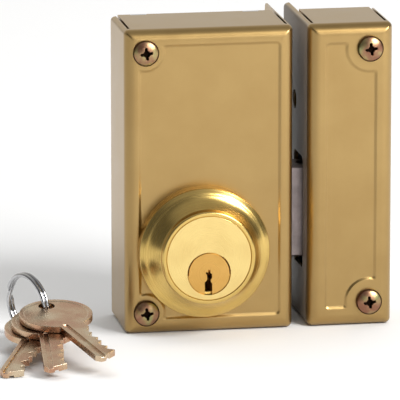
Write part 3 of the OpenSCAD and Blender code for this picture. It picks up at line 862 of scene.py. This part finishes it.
def cut_groove(obj, centre, r, front):
    """Turns a fine V groove into the front of obj, at radius r about centre."""
    half = 0.28 * MM
    depth = 0.45 * MM
    ahead = 0.05 * MM
    profile = [(r - half, front - ahead), (r + half, front - ahead), (r, front + depth)]
    tool = lathe(obj.name + "_groove", profile, centre, 128)
    recalc(tool)
    subtract(obj, tool)


def plain_pieces():
    """CAD nodes whose shape is right get rounded edges, and a groove parts the plug from its housing."""
    widths = {"back_plate": 0.15, "strike_plate": 0.15, "cylinder_plug": 0.2, "bolt_head": 0.3,
              "pinion_bracket": 0.12, "cylinder_nut": 0.2, "case_spacers": 0.1, "strike_spacers": 0.1,
              "cylinder_housing": 0.12}
    plug_low, plug_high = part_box("cylinder_plug")
    plug_r = (plug_high.x - plug_low.x) / 2
    for node, width in widths.items():
        obj = flat_copy(node, node + "_piece")
        soften_edges(obj, width * MM, 30)
        even_normals(obj, 50)
        if node in ("cylinder_plug", "cylinder_housing"):
            cut_groove(obj, axis_of("cylinder_plug"), plug_r, plug_low.y)
            even_normals(obj, 40)
        finish_piece(obj, node)


def bow_centre(flat, hole, normal):
    """Centre of a key's bow: at its distance from the hole, the place that puts most points on its rim."""
    def points_on_rim(bow):
        return int((abs(np.linalg.norm(flat - bow, axis=1) - KEY_BOW_R * MM) < 0.02 * MM).sum())

    start = Vector(flat.mean(0) - hole).normalized()
    turns = [Matrix.Rotation(math.radians(k * 0.25), 3, normal) for k in range(-60, 61)]
    return Vector(max((hole + np.array(turn @ start) * KEY_HOLE_TO_BOW * MM for turn in turns),
                      key=points_on_rim))


def keys():
    """Keys with rounded edges and a coined rim round the bow, on both faces."""
    joint_of = {joint["child"]: joint for joint in record["behaviour"]["joints"]}
    for node in ("key_left", "key_middle", "key_right"):
        points = np.array([v.co for v in frame["nodes"][node].data.vertices], float)
        hole = np.array(joint_of[node]["pos_m"], float)
        normal = Vector(joint_of[node]["axis"]).normalized()
        level = (points - hole) @ np.array(normal)
        centre = bow_centre(points - np.outer(level, normal), hole, normal)
        turn = normal.to_track_quat("Y", "Z").to_matrix().to_4x4()
        obj = flat_copy(node, node + "_coined")
        rim = (KEY_BOW_R - COIN_RIM) * MM
        for face, depth in ((level.min(), COIN_DEPTH * MM), (level.max(), -COIN_DEPTH * MM)):
            tool = frustum("rim_tool", rim - 0.25 * MM, depth, rim, -depth)
            tool.data.transform(Matrix.Translation(centre + normal * float(face)) @ turn)
            recalc(tool)
            subtract(obj, tool)
        soften_edges(obj, 0.15 * MM, 30, clamp=False)
        even_normals(obj, 40)
        finish_piece(obj, node)


def split_ring():
    """Two turns of round wire with a step where one turn passes to the other."""
    points = np.array([v.co for v in frame["nodes"]["key_ring"].data.vertices], float)
    centre = points.mean(0)
    _, _, axes = np.linalg.svd(points - centre, full_matrices=False)
    normal = Vector(axes[2])
    side = Vector(axes[0])
    up = normal.cross(side)
    mean_r = np.linalg.norm(points - centre, axis=1).max() / MM - WIRE_R - 0.13
    turns = 1.97
    beside = 0.68
    count = 300
    around = 14
    section = ring_points(0, 0, 1, around)
    verts = []
    for i in range(count):
        t = i / (count - 1)
        a = 2 * math.pi * turns * t
        out = side * math.cos(a) + up * math.sin(a)
        shift = beside * (2 * smoothstep(0.47, 0.53, t) - 1)
        spot = Vector(centre) + out * mean_r * MM + normal * shift * MM
        taper = min(1.0, 0.35 + min(i, count - 1 - i) * 0.2)
        verts += [spot + (out * b + normal * c * 0.9) * WIRE_R * MM * taper for b, c in section]
    faces = []
    for i in range(count - 1):
        for k in range(around):
            j = (k + 1) % around
            faces.append((i * around + k, i * around + j, (i + 1) * around + j, (i + 1) * around + k))
    faces.append(tuple(range(around)))
    faces.append(tuple((count - 1) * around + k for k in range(around)))
    obj = mesh_object("split_ring_wire", verts, faces)
    recalc(obj)
    shade(obj, 50)
    finish_piece(obj, "key_ring")


shells()
trim_ring()
screws()
plain_pieces()
keys()
split_ring()


# ---------------------------------------------------------------- stage, lights, camera

def floor():
    """Pale floor with painted light: paler further out, where the lamps' light falls off, so a little darker
    under the lock than further out.
    """
    size = 30.0
    plane = mesh_object("floor", [(x, y, 0) for x, y in rectangle(-size, -size, size, size)], [(0, 1, 2, 3)])
    paint = Paint("floor_paint")
    away = paint.add("ShaderNodeVectorMath", operation="LENGTH")
    paint.link(paint.place(), away.inputs[0])
    # Painted light: the floor is paler far from the lock, making up for the lamps' light falling off there
    paint.colour(paint.span(away.outputs["Value"], 0.79, 0.90, 0.15, 0.60))
    paint.set(Roughness=0.9, Specular_IOR_Level=0.0)
    plane.data.materials.append(paint.material)


def sky():
    """Dark low down, grey overhead, pale behind; in front a bright wall with a brighter strip above it."""
    world = bpy.data.worlds.new("studio")
    bpy.context.scene.world = world
    world.use_nodes = True
    m = Nodes(world.node_tree)
    side, depth, height = m.split(m.add("ShaderNodeTexCoord").outputs["Generated"])
    level = m.ramp(height, [(0.0, (0.13, 0.13, 0.127)), (0.60, (0.14, 0.14, 0.137)),
                            (0.80, (0.38, 0.38, 0.38)), (1.0, (0.50, 0.50, 0.50))])
    wall = m.math("MULTIPLY", m.span(m.distance(side, 0.15), 1.0, 0.0, 0.25, 0.50),
                  m.span(depth, 1.0, 0.0, -0.7, -0.4))
    wall = m.math("MULTIPLY", wall, m.span(height, 1.0, 0.0, 0.12, 0.26))
    level = m.mix(wall, level, (1.5, 1.5, 1.5))
    strip = m.math("MULTIPLY", m.span(m.distance(side, 0.27), 1.0, 0.0, 0.18, 0.36),
                   m.span(m.distance(height, 0.32), 1.0, 0.0, 0.02, 0.08))
    strip = m.math("MULTIPLY", strip, m.span(depth, 1.0, 0.0, -0.5, -0.2))
    level = m.mix(strip, level, (5.0, 5.0, 5.0))
    level = m.mix(m.span(depth, 0.0, 1.0, 0.2, 0.9), level, (0.96, 0.94, 0.88))
    background = world.node_tree.nodes["Background"]
    m.link(level, background.inputs["Color"])
    background.inputs["Strength"].default_value = 0.85


def area_light(name, position, size, power):
    """A soft rectangular lamp aimed at the middle of the lock."""
    data = bpy.data.lights.new(name, "AREA")
    data.shape = "RECTANGLE"
    data.size, data.size_y = size
    data.energy = power
    lamp = bpy.data.objects.new(name, data)
    bpy.context.scene.collection.objects.link(lamp)
    lamp.location = position
    aim = (Vector((0.01, 0.0, 0.05)) - Vector(position)).normalized()
    lamp.rotation_euler = aim.to_track_quat("-Z", "Y").to_euler()
    return lamp


def camera():
    """A long lens, a little from the left and above, aimed just left of and below the front's middle."""
    azimuth = math.radians(-10.65)
    elevation = math.radians(12.31)
    distance = 1.818
    aim_left, aim_down = 0.010883, 0.003089
    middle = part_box("case_shell")[0] + Vector((0.045, 0.0, 0.050))
    level = math.cos(elevation)
    forward = Vector((-math.sin(azimuth) * level, math.cos(azimuth) * level, -math.sin(elevation)))
    right = Vector((math.cos(azimuth), math.sin(azimuth), 0))
    aim = (forward - right * aim_left - right.cross(forward) * aim_down).normalized()
    right = aim.cross(Vector((0, 0, 1))).normalized()
    turn = Matrix((right, right.cross(aim), -aim)).transposed().to_4x4()
    data = bpy.data.cameras.new("camera")
    data.lens = 494.4
    data.sensor_width = 36
    data.clip_start = 0.05
    data.clip_end = 100
    cam = bpy.data.objects.new("camera", data)
    bpy.context.scene.collection.objects.link(cam)
    cam.matrix_world = Matrix.Translation(middle - forward * distance) @ turn
    bpy.context.scene.camera = cam


floor()
sky()
area_light("key", (0.95, -1.0, 1.0), (0.75, 0.75), 34.5)
area_light("top", (0.0, 0.35, 1.3), (1.7, 1.2), 9).visible_glossy = False
camera()
bpy.context.scene.view_settings.view_transform = "Standard"
